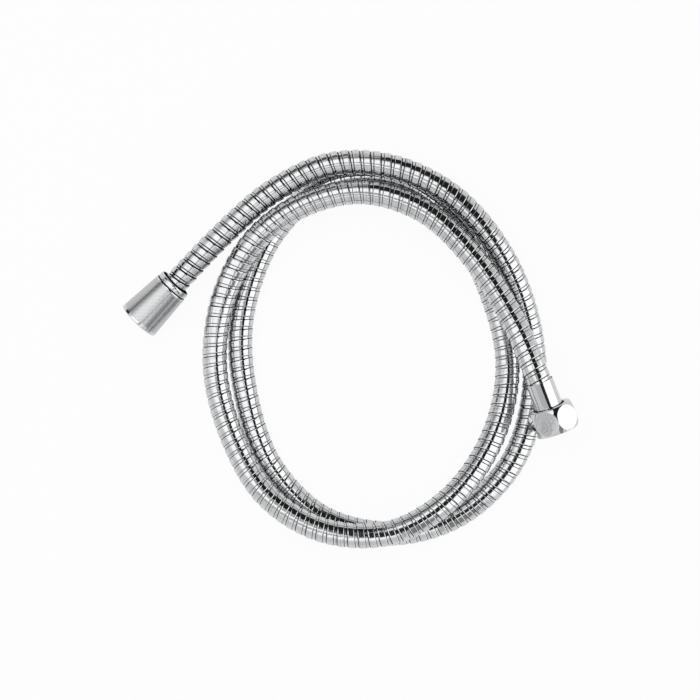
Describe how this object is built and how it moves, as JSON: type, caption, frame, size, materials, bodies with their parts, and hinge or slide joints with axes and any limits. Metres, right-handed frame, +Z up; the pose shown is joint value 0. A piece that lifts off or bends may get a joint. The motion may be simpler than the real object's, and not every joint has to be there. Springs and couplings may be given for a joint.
{
  "type": "shower hose",
  "caption": "Metal interlock shower hose lying in a loose coil, with a tapered knurled union nut at one end and a hexagon union nut on a smooth ferrule at the other.",
  "frame": {"origin": "centre of the coiled hose's bounding box on the floor it lies on", "axes": "+Z up from the floor; +X across the coil from the tapered nut's side to the hexagon nut's side; +Y away from the viewer, towards the top of the picture"},
  "size_m": [0.2518, 0.2201, 0.0393],
  "materials": {
    "chrome": "bright chrome plate, mirror polished",
    "satin_chrome": "chrome plate over a fine knurl, satin to the eye, with polished rims",
    "brass": "plain turned brass",
    "rubber": "matt black sealing rubber",
    "liner": "plain pale liner tube"
  },
  "bodies": {
    "hose": {"outer_casing": "chrome", "inner_tube": "liner", "cone_end_insert": "brass", "cone_end_ferrule": "chrome", "cone_end_washer": "rubber", "hex_end_insert": "brass", "hex_end_ferrule": "chrome", "hex_end_washer": "rubber"},
    "tapered_nut": {"cone_nut": "satin_chrome"},
    "hexagon_nut": {"hex_nut": "chrome"}
  },
  "joints": [
    {"name": "cone_nut_spin", "type": "hinge", "parent": "hose", "child": "tapered_nut", "pos_m": [-0.11763, 0.01587, 0.01204], "axis": [0.7026, 0.7026, 0.1124], "continuous": true},
    {"name": "hex_nut_spin", "type": "hinge", "parent": "hose", "child": "hexagon_nut", "pos_m": [0.11517, -0.04505, 0.0248], "axis": [-0.3589, 0.9271, 0.1077], "continuous": true}
  ]
}
